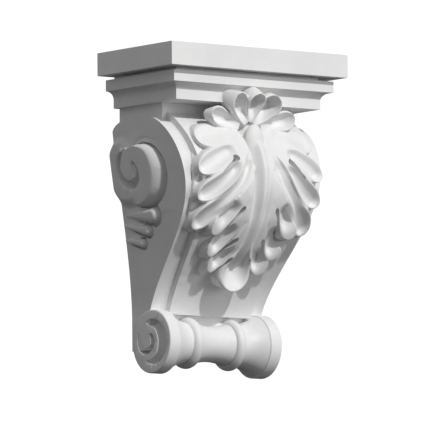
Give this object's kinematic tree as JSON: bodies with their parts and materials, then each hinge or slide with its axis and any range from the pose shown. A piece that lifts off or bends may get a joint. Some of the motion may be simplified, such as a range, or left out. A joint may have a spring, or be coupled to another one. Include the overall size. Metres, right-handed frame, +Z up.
{
  "type": "corbel",
  "caption": "Wall corbel with a moulded head, an S-scroll body with side volutes, an acanthus leaf on the front and a turned roll at the foot.",
  "frame": {"origin": "in the flat back face, on the centre line, level with the underside of the head", "axes": "+X across the front, -Y out of the wall towards the viewer, +Z up"},
  "size_m": [0.2, 0.1211, 0.2924],
  "materials": {
    "white_plaster": "matt white, as moulded and primed"
  },
  "bodies": {
    "root": {"corbel": "white_plaster"}
  },
  "joints": []
}
